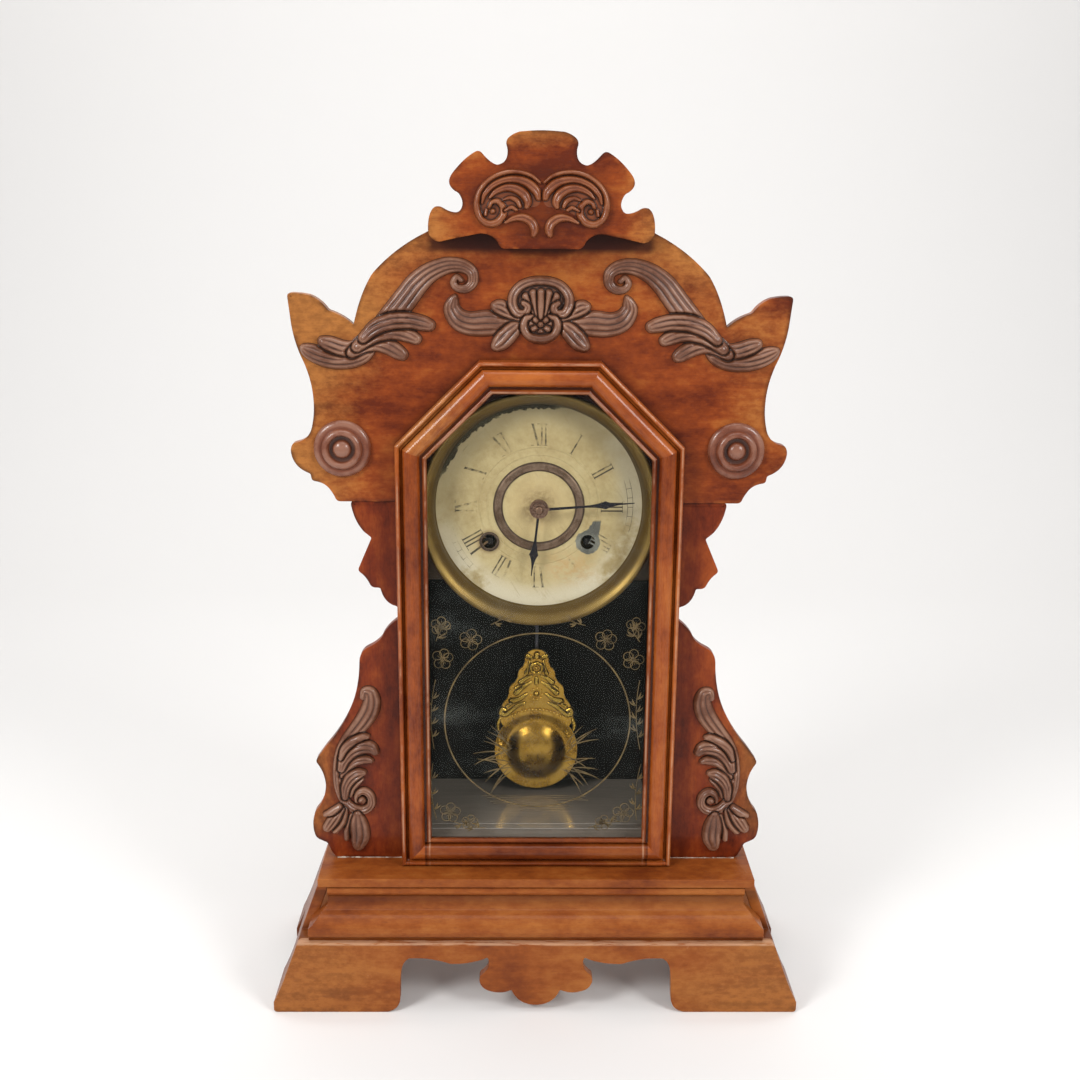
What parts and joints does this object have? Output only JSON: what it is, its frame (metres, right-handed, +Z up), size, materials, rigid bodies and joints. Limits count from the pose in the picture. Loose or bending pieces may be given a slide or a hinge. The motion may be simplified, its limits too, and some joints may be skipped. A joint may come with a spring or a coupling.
{
  "type": "kitchen clock",
  "caption": "Pendulum kitchen clock with a fretted and carved wooden case, a glazed door, a round dial, a striking movement, a wire gong and a swinging bob.",
  "frame": {"origin": "on the floor, at the middle of the bounding box's lower face", "axes": "+X to the right as seen from the front, +Y to the back, +Z up"},
  "size_m": [0.344, 0.1263, 0.5575],
  "materials": {
    "case_wood": "stained and varnished, orange-brown",
    "red_wood": "stained and varnished, dark red-brown",
    "door_wood": "glossy stained moulding",
    "carved_wood": "dark brown, dull",
    "box_wood": "stained",
    "raw_wood": "unfinished softwood",
    "glass": "clear with thin gilt drawing",
    "brass": "rolled brass",
    "bezel_brass": "aged, brownish",
    "bob_brass": "stamped and lacquered, bright",
    "dial_paper": "aged printed paper on zinc",
    "steel": "bright drawn steel",
    "blued_steel": "dark blued",
    "black_iron": "japanned black"
  },
  "bodies": {
    "case": {"base_top_board": "case_wood", "base_front": "case_wood", "base_sides": "case_wood", "base_moulding": "case_wood", "wood_blocks": "raw_wood", "back_board": "raw_wood", "case_sides": "box_wood", "case_top": "box_wood", "case_floor": "box_wood", "front_rail": "box_wood", "head_board": "case_wood", "side_boards": "red_wood", "crest_board": "case_wood", "crest_carving": "carved_wood", "head_carvings": "carved_wood", "side_carvings": "carved_wood", "rosettes": "carved_wood", "case_hinges": "brass", "dial_plate": "dial_paper", "dial_bezel": "bezel_brass", "centre_ring": "bezel_brass", "front_plate": "brass", "back_plate": "brass", "screws": "steel", "time_main_wheel": "brass", "strike_main_wheel": "brass", "mainsprings": "blued_steel", "second_wheel": "brass", "centre_wheel": "brass", "third_wheel": "brass", "escape_wheel": "brass", "strike_second_wheel": "brass", "warning_wheel": "brass", "fly": "brass", "count_wheel": "brass", "gong": "blued_steel", "gong_base": "black_iron"},
    "door": {"door_top_rail": "door_wood", "door_bottom_rail": "door_wood", "door_stiles": "door_wood", "door_diagonals": "door_wood", "door_glass": "glass", "glass_strips": "raw_wood", "door_hinges": "brass"},
    "minute": {"centre_arbor": "steel", "minute_hand": "blued_steel", "hand_nut": "brass"},
    "minute_work": {"minute_wheel": "brass"},
    "hour": {"hour_wheel": "brass", "hour_hand": "blued_steel"},
    "time_winder": {"time_winding_arbor": "steel"},
    "strike_winder": {"strike_winding_arbor": "steel"},
    "time_pawl": {"time_click": "steel"},
    "strike_pawl": {"strike_click": "steel"},
    "anchor": {"verge": "steel"},
    "pendulum": {"suspension_spring": "steel", "pendulum_rod": "steel", "pendulum_bob": "bob_brass"},
    "nut": {"rating_nut": "bob_brass"},
    "striker": {"hammer": "steel"}
  },
  "joints": [
    {"name": "door_swing", "type": "hinge", "parent": "case", "child": "door", "pos_m": [0.0877, -0.0239, 0.22], "axis": [0, 0, 1], "range_deg": [0, 90]},
    {"name": "minute_turn", "type": "hinge", "parent": "case", "child": "minute", "pos_m": [0, -0.01, 0.3303], "axis": [0, 1, 0], "continuous": true},
    {"name": "minute_work_turn", "type": "hinge", "parent": "case", "child": "minute_work", "pos_m": [0, -0.004, 0.3183], "axis": [0, 1, 0], "continuous": true},
    {"name": "hour_turn", "type": "hinge", "parent": "case", "child": "hour", "pos_m": [0, -0.01, 0.3303], "axis": [0, 1, 0], "continuous": true},
    {"name": "time_winding", "type": "hinge", "parent": "case", "child": "time_winder", "pos_m": [0.0314, 0.01, 0.3073], "axis": [0, 1, 0], "continuous": true},
    {"name": "strike_winding", "type": "hinge", "parent": "case", "child": "strike_winder", "pos_m": [-0.0314, 0.01, 0.3073], "axis": [0, 1, 0], "continuous": true},
    {"name": "time_click_lift", "type": "hinge", "parent": "case", "child": "time_pawl", "pos_m": [0.0446, 0.02, 0.3097], "axis": [0, -1, 0], "range_deg": [0, 20], "stiffness_Nm_per_rad": 0.003, "springref_deg": -20.05},
    {"name": "strike_click_lift", "type": "hinge", "parent": "case", "child": "strike_pawl", "pos_m": [-0.0182, 0.02, 0.3097], "axis": [0, -1, 0], "range_deg": [0, 20], "stiffness_Nm_per_rad": 0.003, "springref_deg": -20.05},
    {"name": "pendulum_swing", "type": "hinge", "parent": "case", "child": "pendulum", "pos_m": [0, 0.0382, 0.37903], "axis": [0, 1, 0], "range_deg": [-4, 4]},
    {"name": "verge_rock", "type": "hinge", "parent": "case", "child": "anchor", "pos_m": [0, 0.01, 0.37903], "axis": [0, 1, 0], "range_deg": [-4, 4]},
    {"name": "nut_turn", "type": "hinge", "parent": "pendulum", "child": "nut", "pos_m": [0, 0.0382, 0.124], "axis": [0, 0, 1], "continuous": true},
    {"name": "hammer_lift", "type": "hinge", "parent": "case", "child": "striker", "pos_m": [-0.027, 0.04, 0.2883], "axis": [0, 1, 0], "range_deg": [0, 12]}
  ],
  "couplings": [
    {"joint": "minute_work_turn", "follows": "minute_turn", "ratio": -0.33333},
    {"joint": "hour_turn", "follows": "minute_turn", "ratio": 0.083333},
    {"joint": "verge_rock", "follows": "pendulum_swing", "ratio": 1}
  ]
}
